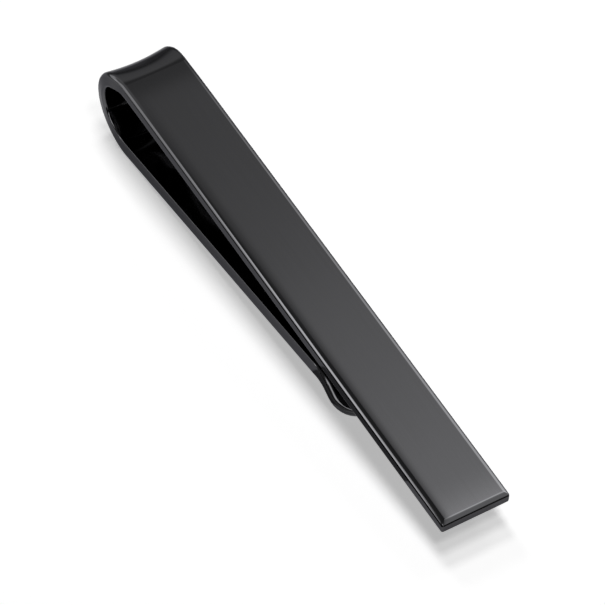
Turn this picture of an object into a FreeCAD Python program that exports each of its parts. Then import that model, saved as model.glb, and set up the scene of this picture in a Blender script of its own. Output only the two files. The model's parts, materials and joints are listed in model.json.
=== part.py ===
import FreeCAD, Part
import math
import os

# A tie clip bent from one strip of polished metal. Each section of the strip is a solid of its own:
# a flat front bar, a round spring loop, a straight tail, a grip ridge and a lip that turns away.
# The clip lies as it does on a table, on the loop and on the tip of the lip, with +X towards the
# free end of the bar. The origin is under the middle of its box. Millimetres and degrees.

# The strip that everything is bent from: the edges of its face are softened, its back stays crisp
strip_width = 6.35
strip_thickness = 1.5
face_edge_radius = 0.2
back_edge_radius = 0.05

# The flat front bar, from the loop to its free end, with edges rounded by polishing
bar_length = 51.0
bar_edge_radius = 0.45
bar_corner_radius = 0.2

# The spring loop at the back. Its tight bend swells the strip's inner edges out sideways, sinks the
# middle of its width and thins the strip, and all three settle in over a short way from each end of
# the loop. The rounding of the bar's edges fades out on its way round.
loop_inner_radius = 2.8
loop_swelling = 0.3
loop_sinking = 0.28
loop_thinning = 0.15
loop_settling = 2.2

# The straight tail, from the loop to the grip ridge
tail_length = 31.2

# The grip ridge, whose crest nearly meets the bar
ridge_radius = 2.05
grip_gap = 0.3

# The lip past the ridge, which leads the cloth in. Its edges are rounded so that they don't catch.
lip_angle = 28.0
lip_length = 3.48
lip_corner_radius = 2.5
lip_edge_radius = 0.4

# The most of a half thickness, a half width or a length that rounding may take up
rounding_share = 0.96

# The least part of the thickness that counts as a length when edges are picked
nothing_share = 0.001

# How many cut faces each bend is carried through, and how many points follow each run of their outline
loop_stations = 25
ridge_stations = 9
outline_points = 9

half_width = strip_width / 2
half_thickness = strip_thickness / 2
loop_middle_radius = loop_inner_radius + half_thickness
loop_outer_radius = loop_inner_radius + strip_thickness
ridge_crest_radius = ridge_radius + strip_thickness
bar_edge = min(bar_edge_radius, half_thickness * rounding_share)
lip_edge = min(lip_edge_radius, half_thickness * rounding_share)

# The radii of the edges at face and back, on the bar, on the plain strip and on the lip
bar_edges = [bar_edge, bar_edge]
strip_edges = [min(radius, half_thickness * rounding_share) for radius in (face_edge_radius, back_edge_radius)]
lip_edges = [lip_edge, lip_edge]

along = FreeCAD.Vector(1, 0, 0)
across = FreeCAD.Vector(0, 1, 0)
upward = FreeCAD.Vector(0, 0, 1)


def softened_outline(corners, radii):
    """A closed outline with square corners, each rounded by its own radius, or left sharp at 0."""
    starts, ends, edges = [], [], []
    befores, afters = corners[-1:] + corners[:-1], corners[1:] + corners[:1]
    for before, corner, after, radius in zip(befores, corners, afters, radii):
        back = (before - corner).normalize() * radius
        ahead = (after - corner).normalize() * radius
        starts.append(corner + back)
        ends.append(corner + ahead)
        if radius:
            bulge = corner + (back + ahead) * (1 - math.sqrt(0.5))
            edges.append(Part.Arc(starts[-1], bulge, ends[-1]).toShape())
    for end, start in zip(ends[-1:] + ends, starts):
        edges.append(Part.LineSegment(end, start).toShape())
    return Part.Wire(Part.sortEdges(edges)[0])


def strip_outline(edges):
    """The outline of the strip's cut face: X runs along the strip, and Z = 0 is its back, the inner face."""
    side = across * half_width
    face = upward * -strip_thickness
    corners = [side, -side, face - side, face + side]
    face_edge, back_edge = edges
    return softened_outline(corners, [back_edge, back_edge, face_edge, face_edge])


def straight_strip(length, edges):
    """A plain run of the strip along X."""
    return Part.Face(strip_outline(edges)).extrude(along * length)


def tongue(length, corner_radius):
    """A square-edged run of the strip along X, with the two corners at its free end rounded."""
    tip = along * length
    side = across * half_width
    plan = softened_outline([-side, tip - side, tip + side, side], [0, corner_radius, corner_radius, 0])
    return Part.Face(plan).extrude(upward * -strip_thickness)


def is_nothing(length):
    """True for a length that is nothing beside the strip's thickness."""
    return abs(length) < strip_thickness * nothing_share


def rim_edges(solid, height):
    """The edges round the flat face at a height, apart from the cut end at X = 0."""
    boxes = [(edge, edge.BoundBox) for edge in solid.Edges]
    level = [(edge, box) for edge, box in boxes if is_nothing(box.ZLength) and is_nothing(box.ZMax - height)]
    return [edge for edge, box in level if not is_nothing(box.XMax)]


def moved_along(length):
    """The move from the start of a straight run to its end."""
    return FreeCAD.Placement(along * length, FreeCAD.Rotation())


def moved_round(axis_height, angle):
    """The move from the start of a bend to its end."""
    return FreeCAD.Placement(FreeCAD.Vector(), FreeCAD.Rotation(across, angle), upward * axis_height)


def tail_slope():
    """The angle between tail and bar that leaves the grip gap between the ridge's crest and the bar."""
    drop = loop_inner_radius + ridge_crest_radius
    rise = loop_inner_radius - grip_gap - ridge_crest_radius
    return math.degrees(math.atan2(drop, tail_length) + math.asin(rise / math.hypot(tail_length, drop)))


# Where each section starts, with the axis of the loop at the origin and the bar level above it
loop_turn = 180 + tail_slope()
ridge_turn = tail_slope() + lip_angle
bar_start = FreeCAD.Placement(upward * loop_inner_radius, FreeCAD.Rotation(along, 180))
loop_start = FreeCAD.Placement(upward * loop_inner_radius, FreeCAD.Rotation(across, 180))
tail_start = loop_start * moved_round(loop_inner_radius, -loop_turn)
ridge_start = tail_start * moved_along(tail_length)
lip_start = ridge_start * moved_round(-ridge_crest_radius, ridge_turn)


def front_bar():
    """The flat bar that shows on the tie. At its square end the softened edges meet in a mitre."""
    tip = along * bar_length
    face = upward * -strip_thickness
    profile = softened_outline([FreeCAD.Vector(), tip, tip + face, face], [0, bar_edge, bar_edge, 0])
    profile.translate(across * -half_width)
    softened_end = Part.Face(profile).extrude(across * strip_width)
    polished = straight_strip(bar_length, bar_edges).common(softened_end)
    return polished.common(tongue(bar_length, bar_corner_radius))


def bend_outline(edges, hold):
    """The outline of the cut face inside a bend, with a share of the loop's full change of shape."""
    runs = []
    for edge in strip_outline(edges).OrderedEdges:
        moved = []
        for point in edge.discretize(outline_points):
            way_out = point.y / half_width
            way_in = 1 + point.z / strip_thickness
            swelling = across * (loop_swelling * hold * way_out * way_in)
            sinking = upward * (loop_sinking * hold * (1 - way_out ** 2))
            thinning = upward * (loop_thinning * hold * way_in)
            moved.append(point + swelling + sinking - thinning)
        curve = Part.BSplineCurve()
        curve.interpolate(moved)
        runs.append(curve.toShape())
    return Part.Wire(runs)


def bent_strip(axis_height, angle, first_edges, last_edges, holds):
    """The strip carried round an axis that lies across it, at a height over its back.

    It passes through one cut face for each hold, the share of the change of shape there, and its
    edges change evenly from the first radii to the last.
    """
    outlines = []
    for station, hold in enumerate(holds):
        share = station / (len(holds) - 1)
        edges = [first + (last - first) * share for first, last in zip(first_edges, last_edges)]
        turned = moved_round(axis_height, angle * share)
        outlines.append(bend_outline(edges, hold).transformed(turned.toMatrix(), True))
    return Part.makeLoft(outlines, True)


def spring_loop():
    """The bend that springs open: a little over half a turn, from the bar round to the tail."""
    holds = []
    for station in range(loop_stations):
        share = station / (loop_stations - 1)
        way = math.radians(loop_turn) * loop_middle_radius * min(share, 1 - share)
        settled = min(way / loop_settling, 1)
        holds.append(settled ** 2 * (3 - 2 * settled))
    return bent_strip(loop_inner_radius, -loop_turn, bar_edges, strip_edges, holds)


def spring_tail():
    """The straight leg behind the tie, which closes towards the bar."""
    return straight_strip(tail_length, strip_edges)


def grip_ridge():
    """The bend away from the bar, whose crest presses the tie."""
    return bent_strip(-ridge_crest_radius, ridge_turn, strip_edges, lip_edges, [0] * ridge_stations)


def lead_in_lip():
    """The short tongue past the ridge, with a round tip."""
    corner = min(lip_corner_radius, half_width * rounding_share, lip_length * rounding_share)
    blank = tongue(lip_length, corner)
    return blank.makeFillet(lip_edge, rim_edges(blank, -strip_thickness) + rim_edges(blank, 0))


def floor_slope(edge_centre, edge_radius):
    """The slope of a floor that just touches the loop and a softened edge round that centre."""
    closing = math.asin((loop_outer_radius - edge_radius) / math.hypot(edge_centre.x, edge_centre.z))
    return math.degrees(math.atan2(edge_centre.z, edge_centre.x) + closing)


def resting_place():
    """The move that lays the clip on the loop and its next lowest edge, with its box on the origin."""
    lip_corner = lip_start.multVec(along * (lip_length - lip_edge) + upward * (lip_edge - strip_thickness))
    low_corner = along * (bar_length - bar_edge) + upward * (loop_inner_radius + bar_edge)
    high_corner = along * (bar_length - bar_edge) + upward * (loop_outer_radius - bar_edge)
    slope = min(floor_slope(lip_corner, lip_edge), floor_slope(low_corner, bar_edge))
    settle = FreeCAD.Rotation(across, slope)
    middle = (settle.multVec(high_corner).x + bar_edge - loop_outer_radius) / 2
    return FreeCAD.Placement(upward * loop_outer_radius - along * middle, settle)


sections = {
    "front_bar": (front_bar, bar_start),
    "spring_loop": (spring_loop, loop_start),
    "spring_tail": (spring_tail, tail_start),
    "grip_ridge": (grip_ridge, ridge_start),
    "lead_in_lip": (lead_in_lip, lip_start),
}

os.makedirs("parts", exist_ok=True)
rest = resting_place()
whole = FreeCAD.BoundBox()
for name, (build, place) in sections.items():
    solid = build().transformed((rest * place).toMatrix(), True)
    solid.exportStep("parts/" + name + ".step")
    whole.add(solid.optimalBoundingBox(True, False))
    print(name, "volume", round(solid.Volume, 3), "valid", solid.isValid(), "solids", len(solid.Solids))

print("box", [round(size, 3) for size in (whole.XLength, whole.YLength, whole.ZLength)])
print("box corner", [round(size, 3) for size in (whole.XMin, whole.YMin, whole.ZMin)])
print("tail slope", round(tail_slope(), 3), "bar slope", round(math.degrees(rest.Rotation.Angle), 3))
print("loop axis", rest.multVec(FreeCAD.Vector()))
print("bar face middle", rest.multVec(along * (bar_length / 2) + upward * loop_outer_radius))
print("bar face normal", rest.Rotation.multVec(upward))
ridge_axis = ridge_start.multVec(upward * -ridge_crest_radius)
print("grip middle", rest.multVec(ridge_axis + upward * (ridge_crest_radius + grip_gap / 2)))
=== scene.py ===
# %% [markdown]
# A tie clip, bent from one strip of steel, polished like a mirror and plated black. The solid model
# comes first: it is loaded as a fixed frame, and everything below is shaped and placed around it.

import json
import math

import bpy
import numpy as np
from mathutils import Matrix, Vector


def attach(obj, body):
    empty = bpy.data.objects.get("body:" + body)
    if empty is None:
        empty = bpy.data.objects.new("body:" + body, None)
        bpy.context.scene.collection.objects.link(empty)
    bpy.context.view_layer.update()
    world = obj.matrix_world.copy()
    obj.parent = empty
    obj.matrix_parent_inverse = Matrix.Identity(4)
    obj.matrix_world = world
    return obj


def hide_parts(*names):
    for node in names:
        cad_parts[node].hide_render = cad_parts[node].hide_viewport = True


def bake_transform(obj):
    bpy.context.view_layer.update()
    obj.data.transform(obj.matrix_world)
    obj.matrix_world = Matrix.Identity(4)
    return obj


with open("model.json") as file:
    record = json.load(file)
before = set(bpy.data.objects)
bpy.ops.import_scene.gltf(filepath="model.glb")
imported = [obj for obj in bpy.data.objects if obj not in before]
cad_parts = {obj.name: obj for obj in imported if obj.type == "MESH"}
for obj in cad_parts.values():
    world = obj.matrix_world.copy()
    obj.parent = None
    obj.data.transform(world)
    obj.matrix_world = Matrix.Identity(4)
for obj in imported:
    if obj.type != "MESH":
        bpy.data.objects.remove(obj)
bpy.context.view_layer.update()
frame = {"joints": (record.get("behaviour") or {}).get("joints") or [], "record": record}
mm = 0.001

# %% [markdown]
# The camera stands where the photographer's stood: a long lens, high over the free end of the bar
# and to its left. Its place was worked out by matching the straight edges of the bar in the
# picture, and it is written here as a direction, a distance and the point that it looks at.

# %% Camera
view_azimuth = 60.32
view_elevation = 47.94
view_roll = -1.46
view_distance = 434.5 * mm
view_target = Vector((1.367, -0.287, 3.0)) * mm
lens_length = 316.05
nearest_seen = 10 * mm
farthest_seen = 10000 * mm


def turned_camera(azimuth, elevation, roll, distance, target):
    """A camera's matrix from its direction round and above a target, its roll and its distance."""
    round_angle, up_angle, roll_angle = (math.radians(a) for a in (azimuth, elevation, roll))
    level = Vector((math.cos(round_angle), math.sin(round_angle), 0))
    outward = Vector((level.y, -level.x, 0))
    away = outward * math.cos(up_angle) + Vector((0, 0, math.sin(up_angle)))
    steep = away.cross(level)
    right = level * math.cos(roll_angle) + steep * math.sin(roll_angle)
    columns = Matrix((right, away.cross(right), away)).transposed()
    return Matrix.Translation(target + away * distance) @ columns.to_4x4()


camera = bpy.data.objects.new("camera", bpy.data.cameras.new("camera"))
camera.data.lens = lens_length
camera.data.clip_start = nearest_seen
camera.data.clip_end = farthest_seen
camera.matrix_world = turned_camera(view_azimuth, view_elevation, view_roll, view_distance,
                                    view_target)
bpy.context.scene.collection.objects.link(camera)
bpy.context.scene.camera = camera
bpy.context.scene.view_settings.view_transform = "Standard"
print("camera at", [round(value / mm, 1) for value in camera.matrix_world.translation], "mm")

# %% [markdown]
# Three small helpers serve every material. One turns the colours of a paint chart, written as sRGB
# hex, into the linear light that shaders add up. One adds a shader node: its settings by name, and
# for each socket either a value or the output that feeds it. One gives an empty material to fill.

# %% Helpers for materials


def linear(hex_colour):
    """Linear red, green, blue and alpha of an sRGB colour such as #4A4B4D."""
    shares = [int(hex_colour[place:place + 2], 16) / 255 for place in (1, 3, 5)]
    return [c / 12.92 if c <= 0.04045 else ((c + 0.055) / 1.055) ** 2.4 for c in shares] + [1.0]


def add_node(tree, kind, sockets=None, **settings):
    """A new node with its settings, and its sockets linked or set."""
    node = tree.nodes.new(kind)
    for name, value in settings.items():
        setattr(node, name, value)
    for key, value in (sockets or {}).items():
        if isinstance(value, bpy.types.NodeSocket):
            tree.links.new(value, node.inputs[key])
        else:
            node.inputs[key].default_value = value
    return node


def empty_material(name):
    """A material with no nodes in it yet."""
    material = bpy.data.materials.new(name)
    material.use_nodes = True
    material.node_tree.nodes.clear()
    return material


print("a mid grey of the chart is", round(linear("#808080")[0], 3), "in linear light")

# %% [markdown]
# The clip lies on a seamless white table. Brighter lamps could whiten it, but they would burn the
# shadow away. So the lamps stay soft, and the paper adds some white of its own for the rays that
# show it to the camera and to mirrors. The rest is real diffuse light, which keeps the shadow.

# %% White table
table_half = 1500 * mm
table_glow = 0.45
paper_white = "#F2F2F2"


def seen_rays(tree):
    """The factor that is 1 for rays from the camera, from mirrors and through glass."""
    path = add_node(tree, "ShaderNodeLightPath")
    shown = path.outputs["Is Camera Ray"]
    for kind in ("Is Glossy Ray", "Is Transmission Ray"):
        shown = add_node(tree, "ShaderNodeMath", {0: shown, 1: path.outputs[kind]},
                         operation="MAXIMUM").outputs[0]
    return shown


def white_table():
    """Matt white paper, with some white light of its own."""
    material = empty_material("white_paper")
    tree = material.node_tree
    paper = add_node(tree, "ShaderNodeBsdfDiffuse", {"Color": linear(paper_white)})
    glow = add_node(tree, "ShaderNodeMath", {0: seen_rays(tree), 1: table_glow},
                    operation="MULTIPLY")
    light = add_node(tree, "ShaderNodeEmission", {"Strength": glow.outputs[0]})
    both = add_node(tree, "ShaderNodeAddShader", {0: paper.outputs[0], 1: light.outputs[0]})
    add_node(tree, "ShaderNodeOutputMaterial", {"Surface": both.outputs[0]})
    return material


table_corners = np.array([(-1, -1, 0), (1, -1, 0), (1, 1, 0), (-1, 1, 0)]) * table_half
table_mesh = bpy.data.meshes.new("table")
table_mesh.from_pydata(table_corners.tolist(), [], [(0, 1, 2, 3)])
table_mesh.materials.append(white_table())
table = bpy.data.objects.new("table", table_mesh)
bpy.context.scene.collection.objects.link(table)
print("table", round(2 * table_half / mm), "mm square")

# %% [markdown]
# A mirror shows its room, so a polished clip looks only as good as what it reflects. Here that is a
# cloth tent, dim, with soft windows of light: on the far side for the face of the bar, on the near
# side for its bright edge, at the loop's end for the bands on the loop, and near the free end for
# the rim of the lip. The last one takes light away. A photograph of a room could do the same, but
# these windows can be moved one by one until each reflection is right.

# %% Tent cloth
tent_dim = 0.14
# Each window is its brightness and its soft edges: an axis, where it is dark and where bright.
tent_windows = [
    # far side: the face of the bar, its free end and its far edge
    (4.4, [("X", -0.56, 0.06), ("X", 0.30, -0.15), ("Y", 0.22, 0.33)]),
    (0.9, [("X", -0.2, 0.1), ("Y", 0.15, 0.30)]),
    (0.2, [("X", -0.435, -0.400), ("X", 0.62, 0.30), ("Y", 0.22, 0.33)]),
    (2.5, [("X", -0.62, -0.36), ("X", 0.5, 0.1), ("Y", 0.46, 0.56), ("Z", 0.05, 0.2)]),
    # near side: the bright line along the near edge
    (1.33, [("X", -0.30, -0.40), ("Y", -0.50, -0.64), ("Z", 0.0, 0.06), ("Z", 0.68, 0.54)]),
    (3.3, [("X", -0.52, -0.44), ("X", -0.36, -0.44), ("Y", -0.50, -0.64), ("Z", 0.0, 0.06),
           ("Z", 0.68, 0.54)]),
    # behind the loop: the bands across its top
    (1.4, [("X", -0.72, -0.82), ("Y", -0.05, -0.20), ("Z", 0.40, 0.25)]),
    (0.25, [("X", -0.36, -0.47), ("X", -0.58, -0.50), ("Y", -0.25, 0.05)]),
    (0.45, [("X", -0.44, -0.53), ("Y", 0.05, -0.15)]),
    (0.36, [("X", -0.64, -0.78), ("Y", -0.3, 0.0), ("Z", 0.0, 0.22)]),
    (0.11, [("X", -0.45, -0.52), ("Y", -0.3, 0.0)]),
    # near the free end: the rim of the lip
    (3.0, [("X", 0.15, 0.35), ("Y", -0.45, -0.65), ("Z", 0.15, 0.35)]),
    (3.0, [("X", 0.70, 0.85), ("Y", -0.20, -0.32), ("Z", 0.14, 0.26), ("Z", 0.45, 0.30)]),
    # taken away: what the inside of the loop would show of the near free end
    (-0.13, [("X", 0.45, 0.60), ("Y", 0.1, 0.0)]),
]


def tent_cloth():
    """Dim cloth with windows of light, each a product of soft edges along the half globe's axes."""
    material = empty_material("tent_cloth")
    tree = material.node_tree
    place = add_node(tree, "ShaderNodeTexCoord")
    unit = add_node(tree, "ShaderNodeVectorMath", {0: place.outputs["Object"]},
                    operation="NORMALIZE")
    axes = add_node(tree, "ShaderNodeSeparateXYZ", {0: unit.outputs[0]})
    total = tent_dim
    for brightness, edges in tent_windows:
        window = brightness
        for axis, dark, bright in edges:
            soft = add_node(tree, "ShaderNodeMapRange",
                            {"Value": axes.outputs[axis], "From Min": dark, "From Max": bright},
                            interpolation_type="SMOOTHSTEP")
            window = add_node(tree, "ShaderNodeMath", {0: soft.outputs[0], 1: window},
                              operation="MULTIPLY").outputs[0]
        total = add_node(tree, "ShaderNodeMath", {0: window, 1: total}, operation="ADD").outputs[0]
    light = add_node(tree, "ShaderNodeEmission", {"Strength": total})
    add_node(tree, "ShaderNodeOutputMaterial", {"Surface": light.outputs[0]})
    return material


print(len(tent_windows), "windows in the cloth")

# %% [markdown]
# The tent is a half globe that stands on the table, so far off that its windows look nearly the same
# from every part of the clip. Only mirror rays see it, so it neither hides the clip from the camera
# nor shades the table. A picture wrapped round the world would need no mesh, but it would also light
# the table, and its shadows would change with every window.

# %% Light tent
tent_radius = 450 * mm


def half_globe(name, radius, rings=24, spokes=64, reach=0.999):
    """A half globe over the origin.

    Height is the sine, and distance from the axis the cosine, of a tilt that stops just short of
    the pole. A flat face closes it there.
    """
    tilt = np.linspace(0, math.pi / 2 * reach, rings)[:, None]
    turn = np.linspace(0, 2 * math.pi, spokes, endpoint=False)[None, :]
    points = np.stack([np.cos(tilt) * np.cos(turn), np.cos(tilt) * np.sin(turn),
                       np.sin(tilt) + 0 * turn], axis=-1).reshape(-1, 3)
    index = np.arange(rings * spokes).reshape(rings, spokes)
    following = np.roll(index, -1, axis=1)
    sides = np.stack([index[:-1], index[1:], following[1:], following[:-1]], axis=-1)
    faces = sides.reshape(-1, 4).tolist() + [index[-1].tolist()]
    mesh = bpy.data.meshes.new(name)
    mesh.from_pydata((points * radius).tolist(), [], faces)
    return bpy.data.objects.new(name, mesh)


def show_to_mirrors(thing):
    """Puts a thing on the stage that only mirrors see."""
    thing.visible_camera = False
    thing.visible_diffuse = False
    thing.visible_shadow = False
    thing.visible_transmission = False
    bpy.context.scene.collection.objects.link(thing)


tent = half_globe("light_tent", tent_radius)
tent.data.materials.append(tent_cloth())
show_to_mirrors(tent)
print("tent", round(2 * tent_radius / mm), "mm across")

# %% [markdown]
# Dark cards are the other half of lighting a mirror. Some lie on the table, past the free end and
# along the near side, and draw the dark line between the bright edge and the wall below it. A pale
# one by the lip keeps the wall there from going black. Two behind the loop let the white of the
# table fade out of its top. The last stands behind the open side of the clip and keeps its inside
# dark. The table itself could be painted grey there, but then the camera would see it too.

# %% Dark cards
# Each card is its grey and its four corners in millimetres.
cards = [
    ("#606060", [(30.3, -5.2, 0.1), (90, -5.2, 0.1), (90, 40, 0.1), (30.3, 40, 0.1)]),
    ("#202020", [(-5, -9.8, 0.1), (-28, -90, 0.1), (120, -90, 0.1), (34, -5.2, 0.1)]),
    ("#B8B8B8", [(6, -3.6, 0.1), (6, -8.4, 0.1), (20, -6.8, 0.1), (20, -3.6, 0.1)]),
    ("#505050", [(-18, -11.4, 0.1), (-45, -90, 0.1), (-28, -90, 0.1), (-5, -9.8, 0.1)]),
    ("#8C8C8C", [(-34, -14.0, 0.1), (-70, -90, 0.1), (-45, -90, 0.1), (-18, -11.4, 0.1)]),
    ("#D4D4D4", [(-56, -60, 0.1), (-56, 60, 0.1), (-84, 90, 0.1), (-84, -90, 0.1)]),
    ("#B0B0B0", [(-84, -90, 0.1), (-84, 90, 0.1), (-440, 200, 0.1), (-440, -200, 0.1)]),
    ("#303030", [(-28, 4.6, 0.1), (9, 4.6, 0.1), (9, 4.6, 4.2), (-28, 4.6, 7.2)]),
]


def dark_card():
    """Matt card, with the grey that each face of the mesh carries at its corners."""
    material = empty_material("dark_card")
    tree = material.node_tree
    grey = add_node(tree, "ShaderNodeAttribute", attribute_name="grey")
    card = add_node(tree, "ShaderNodeBsdfDiffuse", {"Color": grey.outputs["Color"]})
    add_node(tree, "ShaderNodeOutputMaterial", {"Surface": card.outputs[0]})
    return material


card_corners = np.array([corners for grey, corners in cards]) * mm
card_colours = np.repeat([linear(grey) for grey, corners in cards], 4, axis=0)
card_faces = np.arange(4 * len(cards)).reshape(-1, 4)
card_mesh = bpy.data.meshes.new("dark_cards")
card_mesh.from_pydata(card_corners.reshape(-1, 3).tolist(), [], card_faces.tolist())
card_greys = card_mesh.attributes.new("grey", "FLOAT_COLOR", "POINT")
card_greys.data.foreach_set("color", card_colours.ravel())
card_mesh.materials.append(dark_card())
show_to_mirrors(bpy.data.objects.new("dark_cards", card_mesh))
print(len(cards), "cards")

# %% [markdown]
# Five soft lamps light the table: one high and one low behind the loop, one low on the far side,
# one overhead and one high over the free end. One big lamp would be simpler, but its shadow would
# blur alike on every side, and the photograph's doesn't. Each is given by its direction, its size
# and its share of the table's white, from which its power follows. Mirrors don't see the lamps, and
# the white room beyond the tent only fills the camera's and the mirrors' view.

# %% Lamps and room
lamp_distance = 420 * mm
lamp_aim = Vector((0, 0, 0))
table_white = linear(paper_white)[0]
# Each lamp is its name, azimuth, elevation, size and share.
lamps = [
    ("loop_lamp", 249.0, 63.5, 90 * mm, 0.15),
    ("low_lamp", 262.0, 40.0, 90 * mm, 0.065),
    ("far_lamp", 205.0, 42.0, 90 * mm, 0.035),
    ("top_lamp", 180.0, 84.0, 120 * mm, 0.21),
    ("end_lamp", 90.0, 65.0, 90 * mm, 0.135),
]

for lamp_name, lamp_azimuth, lamp_elevation, lamp_size, lamp_share in lamps:
    lamp = bpy.data.objects.new(lamp_name, bpy.data.lights.new(lamp_name, "AREA"))
    lamp.data.shape = "SQUARE"
    lamp.data.size = lamp_size
    slant = math.sin(math.radians(lamp_elevation))
    lamp.data.energy = lamp_share * (math.pi * lamp_distance) ** 2 / (table_white * slant)
    lamp.visible_glossy = False
    lamp.matrix_world = turned_camera(lamp_azimuth, lamp_elevation, 0, lamp_distance, lamp_aim)
    bpy.context.scene.collection.objects.link(lamp)
    print(lamp_name, round(lamp.data.energy, 2), "W")

room = bpy.data.worlds.new("white_room")
room.use_nodes = True
room.node_tree.nodes.clear()
room_light = add_node(room.node_tree, "ShaderNodeBackground",
                      {"Strength": seen_rays(room.node_tree)})
add_node(room.node_tree, "ShaderNodeOutputWorld", {"Surface": room_light.outputs[0]})
bpy.context.scene.world = room
print("table's white:", round(table_glow + sum(lamp[-1] for lamp in lamps), 3))

# %% [markdown]
# The strip's sizes repeat the drawing of the solid model. Where the clip lies comes from the frame:
# the hinge gives the axis of the loop, and the mount on the face gives the slope of the bar.

# %% Sizes of the strip
strip_width = 6.35 * mm
strip_thickness = 1.5 * mm
bar_length = 51.0 * mm
bar_corner = 0.2 * mm
loop_inner_radius = 2.8 * mm
tail_length = 31.2 * mm
ridge_radius = 2.05 * mm
grip_gap = 0.3 * mm
lip_angle = math.radians(28.0)
lip_length = 3.48 * mm
lip_corner = 2.5 * mm

half_width = strip_width / 2
half_thickness = strip_thickness / 2
ridge_crest_radius = ridge_radius + strip_thickness
loop_axis = np.array(frame["joints"][0]["pos_m"])
face_mount = next(mount for mount in frame["record"]["mounts"] if mount["name"] == "front_face")
bar_slope = math.atan2(face_mount["axis"][0], face_mount["axis"][2])

drop = loop_inner_radius + ridge_crest_radius
rise = loop_inner_radius - grip_gap - ridge_crest_radius
tail_slope = math.atan2(drop, tail_length) + math.asin(rise / math.hypot(tail_length, drop))
print("bar slopes", round(math.degrees(bar_slope), 2),
      "and tail", round(math.degrees(tail_slope - bar_slope), 2))

# %% [markdown]
# Every section of the strip is the same flat sheet with rounded edges. It is drawn as a grid: one
# way along its outline, the other way from the middle of its face, round the edge, to the middle of
# its back. That second way comes first. A bevel modifier could round the edges of a box, but here
# the rounding has to fade along the strip, from the bar's soft edges to the tail's crisp ones.

# %% The rounded edge
face_steps = 16
face_crowding = 1.5
edge_steps = 8
wall_steps = 3
# Radii of the edges: at the face, and at the back.
bar_edges = np.array([[0.45, 0.45]]) * mm
strip_edges = np.array([[0.2, 0.05]]) * mm


def edge_profile(edges):
    """Share of the flat, inset, height and wear, from the middle of the face to that of the back.

    The edge is a quarter circle, a flat wall and another quarter circle. Their radii, at the face
    and at the back, are two columns, with one row for a whole run, or one for each step along it.
    On the flats the steps crowd towards the edge, where the polish falls away.
    """
    flat = 1 - (1 - np.linspace(0, 1, face_steps, endpoint=False)) ** face_crowding
    turn = np.linspace(math.pi / 2, 0, edge_steps + 1)

    def rounded(edge):
        inset = np.concatenate([edge + 0 * flat, edge * (1 - np.cos(turn))], axis=1)
        lowered = np.concatenate([0 * edge * flat, edge * (1 - np.sin(turn))], axis=1)
        return inset, half_thickness - lowered

    face_inset, face_height = rounded(edges[:, :1])
    back_inset, back_depth = rounded(edges[:, 1:])
    wall = np.linspace(1, 0, wall_steps + 1)[1:-1]
    wall_height = face_height[:, -1:] * wall - back_depth[:, -1:] * (1 - wall)
    share = np.concatenate([flat, 1 + 0 * turn, 1 + 0 * wall, 1 + 0 * turn, flat[::-1]])
    inset = np.concatenate([face_inset, 0 * wall_height, back_inset[:, ::-1]], axis=1)
    height = np.concatenate([face_height, wall_height, -back_depth[:, ::-1]], axis=1)
    wear = np.concatenate([0 * flat, np.sin(2 * turn), 0 * wall, np.sin(2 * turn), 0 * flat])
    return share, inset, height, wear


print("edge profile has", len(edge_profile(strip_edges)[0]), "points")

# %% [markdown]
# A polishing wheel leaves the faces falling away a little towards the edges. A bevelled box would
# keep them dead flat, and a mirror would show that at once. So each point of the sheet is lowered by
# how near it lies to the side, and on the bar to the free end as well. Only one half of the sheet is
# worked out. The other is its mirror image.

# %% The flat sheet
side_roll_width = 1.3 * mm
side_roll_depth = 0.045 * mm
end_roll_width = 4.0 * mm
end_roll_depth = 0.07 * mm


def half_sheet(rim, spine, end, edges):
    """Along, across, height and wear of half a sheet, from its outline at each inset and its spine.

    On the flats a point lies between the spine, its middle line, and the outline by its share. The
    face and the back fall by the square of the way into the side's roll, and by the cube of the way
    into the end's. Where the edge is crisper, the side's roll is less in the same proportion.
    """
    share, inset, height, wear = edge_profile(edges)
    middle = np.stack([spine, 0 * spine], axis=1)[:, None, :]
    flat = middle + (rim(inset) - middle) * share[:, None]
    along, across = flat[..., 0], flat[..., 1]
    side_way = np.clip(1 - (half_width - across) / side_roll_width, 0, None)
    end_way = np.clip(1 - (end - along) / end_roll_width, 0, None)
    side_depth = side_roll_depth * edges.min(axis=1, keepdims=True) / bar_edges.min()
    fall = side_depth * side_way ** 2 + end_roll_depth * end_way ** 3
    lowered = height - fall * height / half_thickness
    return along, across, lowered, wear + 0 * lowered


print("faces fall by", round(side_roll_depth / mm, 3), "mm at the sides and",
      round(end_roll_depth / mm, 3), "mm at the bar's end")

# %% [markdown]
# What differs between the sections is the outline. The loop, the tail and the ridge are plain runs
# between their neighbours. The bar and the lip have a free end, one square and one round. Cutting
# them from a wider sheet would leave ragged faces, so one quarter circle draws both: tiny for the
# corner of the bar, and most of half the strip's width for the tip of the lip.

# %% Outlines


def plain_run(along, edges):
    """A run of the strip with no free end: its outline is the long edge, moved in by the inset."""
    def rim(inset):
        return np.stack(np.broadcast_arrays(along[:, None], half_width - inset), axis=-1)
    return rim, along, math.inf, edges


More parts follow.
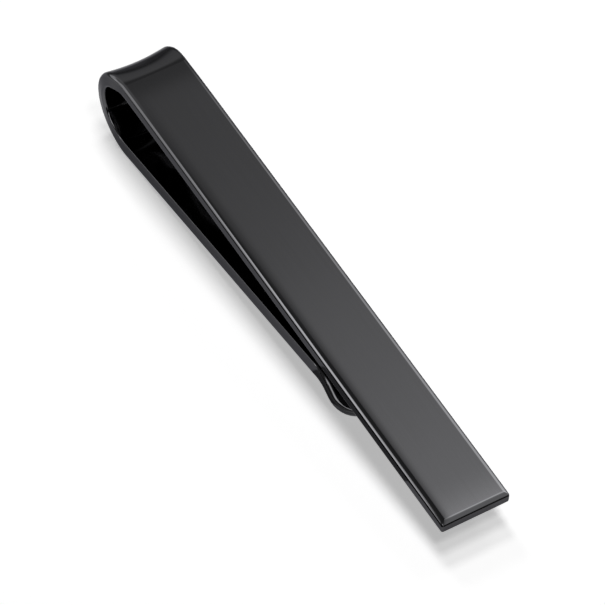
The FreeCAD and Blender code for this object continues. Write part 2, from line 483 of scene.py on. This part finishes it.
def ended_run(length, corner, edges, side_steps, rolled, corner_steps=10, tip_steps=12, room=1.1):
    """A run with a free end: its long edge, a quarter circle round the corner, then half the tip.

    The long edge leaves a little more room than the corner needs. The corner's radius shrinks by
    the inset, down to a fifth of what it is at the wall. The spine keeps step with the outline,
    then slows down, so that it stops an eighth of the width short of the tip's rounding.
    """
    side = np.linspace(0, length - max(corner, edges.max()) * room, side_steps)
    facing = np.linspace(0, math.pi / 2, corner_steps + 1)[:, None]
    tip = np.linspace(1, 0, tip_steps + 1)[1:]

    def rim(inset):
        radius = np.maximum(corner - inset, corner / 5)
        centre_along = length - inset - radius
        centre_across = half_width - inset - radius
        along = np.concatenate([side[:, None] + 0 * inset,
                                centre_along + radius * np.sin(facing),
                                length - inset + 0 * tip[:, None]])
        across = np.concatenate([half_width - inset + 0 * side[:, None],
                                 centre_across + radius * np.cos(facing),
                                 centre_across * tip[:, None]])
        return np.stack([along, across], axis=-1)

    wall = rim(np.zeros(1))[:, 0]
    way = np.concatenate([[0], np.cumsum(np.linalg.norm(np.diff(wall, axis=0), axis=1))])
    slanted = max(length - strip_width, 0)
    last = length - edges.max() - half_width / 4
    slowed = slanted + (way - slanted) * (last - slanted) / (way[-1] - slanted)
    spine = np.where(way > slanted, slowed, way)
    return rim, spine, length if rolled else math.inf, edges


print("corners of the free ends:", round(bar_corner / mm, 2), "mm on the bar and",
      round(lip_corner / mm, 2), "mm on the lip")

# %% [markdown]
# A flat sheet becomes a section of the clip when it is carried along its path: straight on, or
# round an axis. A bend modifier could turn it too, but would leave out what the metal does in a
# tight bend. There the middle of the strip sinks below its two edges, its inner edges swell out
# sideways, and it gets a little thinner. In the loop all three come in soon after the bar, and the
# last two fade slowly towards the tail, because the photograph shows the loop's wall running
# smoothly on into it.

# %% Paths of the strip
loop_settling = 2.2 * mm
swelling_fade = 8.0 * mm
ease_depth = 0.08 * mm
ease_reach = 1.6 * mm
ease_middle = 1.1 * mm


def eased(way):
    """How far the strip lies inside its drawn line at the seam of bar and loop: a bell curve."""
    return ease_depth * np.exp(-((way - ease_middle) / ease_reach) ** 2 / 2)


def eased_in(way):
    """A soft step from 0 to 1 over a way of 0 to 1: three times its square less twice its cube."""
    way = np.clip(way, 0, 1)
    return way * way * (3 - 2 * way)


def straight_path(start, heading, inset=np.zeros_like):
    """Carries a sheet straight on from a start, at a heading above level. Height is to its left."""
    ahead = np.array([math.cos(heading), 0, math.sin(heading)])
    sideways = np.array([0, 1, 0])
    upward = np.array([-math.sin(heading), 0, math.cos(heading)])

    def carried(along, across, height):
        flat = start + along[..., None] * ahead + across[..., None] * sideways
        return flat + (height - inset(along))[..., None] * upward
    return carried


def round_path(axis, radius, first, turn_way, length, swelling=0.0, sinking=0.0, thinning=0.0,
               inset=np.zeros_like):
    """Carries a sheet round an axis: the angle grows with the way along, the distance with height.

    Sinking takes most off the distance midway across, and nothing at the edges. Swelling widens the
    back, thinning moves it towards the face, and both leave the face as it was. All three settle in
    past the first end. Sinking settles out as fast at the far end, and the other two fade slowly.
    """
    def carried(along, across, height):
        angle = first + turn_way * along / radius
        hold = eased_in(np.minimum(along, length - along) / loop_settling)
        swell = np.minimum(hold, eased_in((length - along) / swelling_fade))
        way_in = 0.5 - height / strip_thickness
        sunk = sinking * (1 - (across / half_width) ** 2)
        distance = radius + height + swell * thinning * way_in - hold * sunk - inset(along)
        sideways = -turn_way * across * (1 + swell * way_in * swelling / half_width)
        return np.stack([axis[0] + distance * np.cos(angle), sideways,
                         axis[2] + distance * np.sin(angle)], axis=-1)
    return carried


print("bar and loop are eased in by", round(ease_depth / mm, 3), "mm at most")

# %% [markdown]
# Each section starts where the one before it ends: the bar and the tail on the two sides of the
# loop's axis, the ridge at the end of the tail, and the lip past the ridge. They could be moved into
# place by eye, but then every small change of a size would open a gap. Worked out one from the
# other, they meet.

# %% Where the sections meet
loop_middle_radius = loop_inner_radius + half_thickness
loop_turn = math.pi + tail_slope
loop_first = math.pi / 2 - bar_slope
tail_heading = tail_slope - bar_slope
tail_way = np.array([math.cos(tail_heading), 0, math.sin(tail_heading)])
tail_out = np.array([math.sin(tail_heading), 0, -math.cos(tail_heading)])
bar_out = np.array([math.sin(bar_slope), 0, math.cos(bar_slope)])
bar_start = loop_axis + bar_out * loop_middle_radius
tail_start = loop_axis + tail_out * loop_middle_radius
ridge_axis = tail_start + tail_way * tail_length + tail_out * (half_thickness + ridge_radius)
ridge_middle_radius = ridge_radius + half_thickness
ridge_turn = tail_slope + lip_angle
lip_heading = tail_heading - ridge_turn
lip_out = np.array([-math.sin(lip_heading), 0, math.cos(lip_heading)])
lip_start = ridge_axis + ridge_middle_radius * lip_out
print("lip starts at", np.round(lip_start / mm, 2),
      "mm and heads", round(math.degrees(lip_heading), 1))

# %% [markdown]
# Now the grids become meshes. The two halves share the points along their middle lines, a flat cap
# closes each end where the next section carries on, and its rim is marked sharp, so that the polish
# runs on from one section to the next without a line.

# %% From grid to mesh


def strip_mesh(name, outline, path, ended):
    """A closed mesh of half a sheet and its mirror image, carried along a path.

    A free end closes itself, and has no cap.
    """
    along, across, height, wear = half_sheet(*outline)
    steps, girth = along.shape
    index = np.arange(steps * girth).reshape(steps, girth)
    mirrored = index + steps * girth
    mirrored[:, [0, -1]] = index[:, [0, -1]]
    if ended:
        mirrored[-1] = index[-1]

    def cells(grid):
        corners = [grid[:-1, :-1], grid[1:, :-1], grid[1:, 1:], grid[:-1, 1:]]
        return np.stack(corners, axis=-1).reshape(-1, 4)

    def ring(step):
        return np.concatenate([index[step], mirrored[step, -2:0:-1]])

    quads = np.concatenate([cells(index), cells(mirrored)[:, ::-1]])
    caps = [ring(0)[::-1]] + ([] if ended else [ring(-1)])
    points = np.concatenate([path(along, across, height), path(along, -across, height)])
    used, corners_of_quads = np.unique(quads, return_inverse=True)
    place = np.zeros(2 * steps * girth, int)
    place[used] = np.arange(len(used))
    faces = corners_of_quads.reshape(-1, 4).tolist() + [place[cap].tolist() for cap in caps]
    mesh = bpy.data.meshes.new(name)
    mesh.from_pydata(points.reshape(-1, 3)[used].tolist(), [], faces)
    mesh.polygons.foreach_set("use_smooth", np.ones(len(faces), bool))

    corner_edges = np.empty(len(mesh.loops), np.int32)
    mesh.loops.foreach_get("edge_index", corner_edges)
    sharp = np.zeros(len(mesh.edges), bool)
    sharp[corner_edges[quads.size:]] = True
    mesh.edges.foreach_set("use_edge_sharp", sharp)

    flat = np.stack([np.concatenate([along, along]), np.concatenate([across, -across])], axis=-1)
    corner_points = np.empty(len(mesh.loops), np.int32)
    mesh.loops.foreach_get("vertex_index", corner_points)
    strip_uv = flat.reshape(-1, 2)[used][corner_points] / mm
    mesh.uv_layers.new(name="strip").uv.foreach_set("vector", strip_uv.ravel())
    worn = mesh.attributes.new("edge_wear", "FLOAT", "POINT")
    worn.data.foreach_set("value", np.concatenate([wear, wear]).ravel()[used].astype(np.float32))
    return mesh


def add_section(name, outline, path, material, ended=False):
    """A section of the clip as an object at the origin, with its finish."""
    mesh = strip_mesh(name, outline, path, ended)
    mesh.materials.append(material)
    piece = bpy.data.objects.new(name, mesh)
    bpy.context.scene.collection.objects.link(piece)
    print(name, len(mesh.polygons), "faces")
    return piece


print("a cut through the strip has", 2 * len(edge_profile(strip_edges)[0]) - 2, "points")

# %% [markdown]
# The finish is stainless steel, buffed to a mirror and then plated black in a vacuum. To the eye it
# is a dark mirror: reflections stay sharp, but lose most of their light. One dark colour would look
# like plastic. Close up, the buffing leaves a faint drag along the strip, a slight ripple, and edges
# that are rubbed a little paler, so these follow the strip's own map, which is laid out in
# millimetres.

# %% Black plated steel
plate_dark = "#484849"
plate_light = "#4E4E50"
edge_colour = "#5A5A5C"
grazing_colour = "#B3B3B5"
rubbed_share = 0.5
# Sizes of the pattern in millimetres. Real drag marks are finer: these are as coarse as shows.
drag_length = 9.0
drag_width = 0.12
drag_detail = 3.0
ripple_size = 1.6
ripple_height = 0.0004
ripple_detail = 1.0
# Between these tones of the drag, the roughness goes from its least to its most.
drag_tones = (0.3, 0.7)
drag_roughness = (0.06, 0.10)


def black_plated_steel():
    """Mirror-polished steel under a black vacuum plating."""
    material = empty_material("black_plated_polished_steel")
    tree = material.node_tree
    strip = add_node(tree, "ShaderNodeUVMap", uv_map="strip")
    stretched = add_node(tree, "ShaderNodeMapping",
                         {0: strip.outputs[0], "Scale": (1 / drag_length, 1 / drag_width, 1)})
    drag = add_node(tree, "ShaderNodeTexNoise",
                    {"Vector": stretched.outputs[0], "Scale": 1.0, "Detail": drag_detail})
    ripple = add_node(tree, "ShaderNodeTexNoise",
                      {"Vector": strip.outputs[0], "Scale": 1 / ripple_size,
                       "Detail": ripple_detail})
    wear = add_node(tree, "ShaderNodeAttribute", attribute_name="edge_wear")
    plating = add_node(tree, "ShaderNodeMix",
                       {0: drag.outputs[0], 6: linear(plate_dark), 7: linear(plate_light)},
                       data_type="RGBA")
    rubbed = add_node(tree, "ShaderNodeMath", {0: wear.outputs["Fac"], 1: rubbed_share},
                      operation="MULTIPLY")
    colour = add_node(tree, "ShaderNodeMix",
                      {0: rubbed.outputs[0], 6: plating.outputs[2], 7: linear(edge_colour)},
                      data_type="RGBA")
    rough = add_node(tree, "ShaderNodeMapRange",
                     {"Value": drag.outputs[0],
                      "From Min": drag_tones[0], "From Max": drag_tones[1],
                      "To Min": drag_roughness[0], "To Max": drag_roughness[1]})
    bump = add_node(tree, "ShaderNodeBump",
                    {"Height": ripple.outputs[0], "Distance": ripple_height * mm, "Strength": 1.0})
    metal = add_node(tree, "ShaderNodeBsdfPrincipled",
                     {"Base Color": colour.outputs[2], "Metallic": 1.0,
                      "Roughness": rough.outputs[0], "Normal": bump.outputs[0],
                      "Specular Tint": linear(grazing_colour)})
    add_node(tree, "ShaderNodeOutputMaterial", {"Surface": metal.outputs[0]})
    return material


steel = black_plated_steel()
print("steel reflects about", round(linear(plate_dark)[0], 3), "of the light")

# %% [markdown]
# The front bar is the part that shows on the tie: flat, with a square end whose corners and edges
# are just taken off. Where it runs into the loop it is eased in by a hair, so that no line shows at
# the seam. It rides on the bar, the body that springs up.

# %% Front bar
bar_steps = 100
bar_run = ended_run(bar_length, bar_corner, bar_edges, bar_steps, rolled=True)
bar_path = straight_path(bar_start, -bar_slope, lambda along: eased(-along))
bar = add_section("polished_bar", bar_run, bar_path, steel, ended=True)
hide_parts("front_bar")
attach(bar, "bar")

# %% [markdown]
# The loop is the spring. When the clip opens, its lower end stays with the tail and its upper end
# turns with the bar. It is drawn round the axis that it is bent on, and joined to neither body.
# The round edges of the bar fade into the crisper ones of the tail on the way.

# %% Spring loop
loop_swelling = 0.3 * mm
loop_sinking = 0.28 * mm
loop_thinning = 0.15 * mm
loop_steps = 121
sliver_share = 0.0002


def bend_steps(length, count):
    """Ways along a bend in even steps, with a sliver at each end that keeps its shading true."""
    even = np.linspace(0, 1, count)
    return length * np.concatenate([[0, sliver_share], even[1:-1], [1 - sliver_share, 1]])


loop_length = loop_middle_radius * loop_turn
loop_along = bend_steps(loop_length, loop_steps)
loop_edges = bar_edges + (strip_edges - bar_edges) * loop_along[:, None] / loop_length
loop_path = round_path(loop_axis, loop_middle_radius, loop_first, 1, loop_length,
                       loop_swelling, loop_sinking, loop_thinning, eased)
loop = add_section("polished_loop", plain_run(loop_along, loop_edges), loop_path, steel)
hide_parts("spring_loop")
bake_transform(loop)

# %% [markdown]
# The tail runs straight from the loop and closes on the bar, the ridge turns it away again, and the
# lip ends it with a round tip. All three stay with the part that lies on the table.

# %% Tail, ridge and lip
lip_edges = np.array([[0.4, 0.4]]) * mm
tail_steps = 41
ridge_steps = 33
lip_steps = 6


def turned_over(path):
    """The same path for a sheet whose face is on the other side, as it is below the loop."""
    return lambda along, across, height: path(along, -across, -height)


tail_run = plain_run(np.linspace(0, tail_length, tail_steps), strip_edges)
tail_path = turned_over(straight_path(tail_start, tail_heading))
tail = add_section("polished_tail", tail_run, tail_path, steel)
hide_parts("spring_tail")

ridge_length = ridge_middle_radius * ridge_turn
ridge_along = bend_steps(ridge_length, ridge_steps)
ridge_edges = strip_edges + (lip_edges - strip_edges) * ridge_along[:, None] / ridge_length
ridge_first = math.pi / 2 + tail_heading
ridge_bend = round_path(ridge_axis, ridge_middle_radius, ridge_first, -1, ridge_length)
ridge_path = turned_over(ridge_bend)
ridge = add_section("polished_ridge", plain_run(ridge_along, ridge_edges), ridge_path, steel)
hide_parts("grip_ridge")

lip_run = ended_run(lip_length, lip_corner, lip_edges, lip_steps, rolled=False)
lip_path = turned_over(straight_path(lip_start, lip_heading))
lip = add_section("polished_lip", lip_run, lip_path, steel, ended=True)
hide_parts("lead_in_lip")

for piece in (tail, ridge, lip):
    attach(piece, "tail_spring")
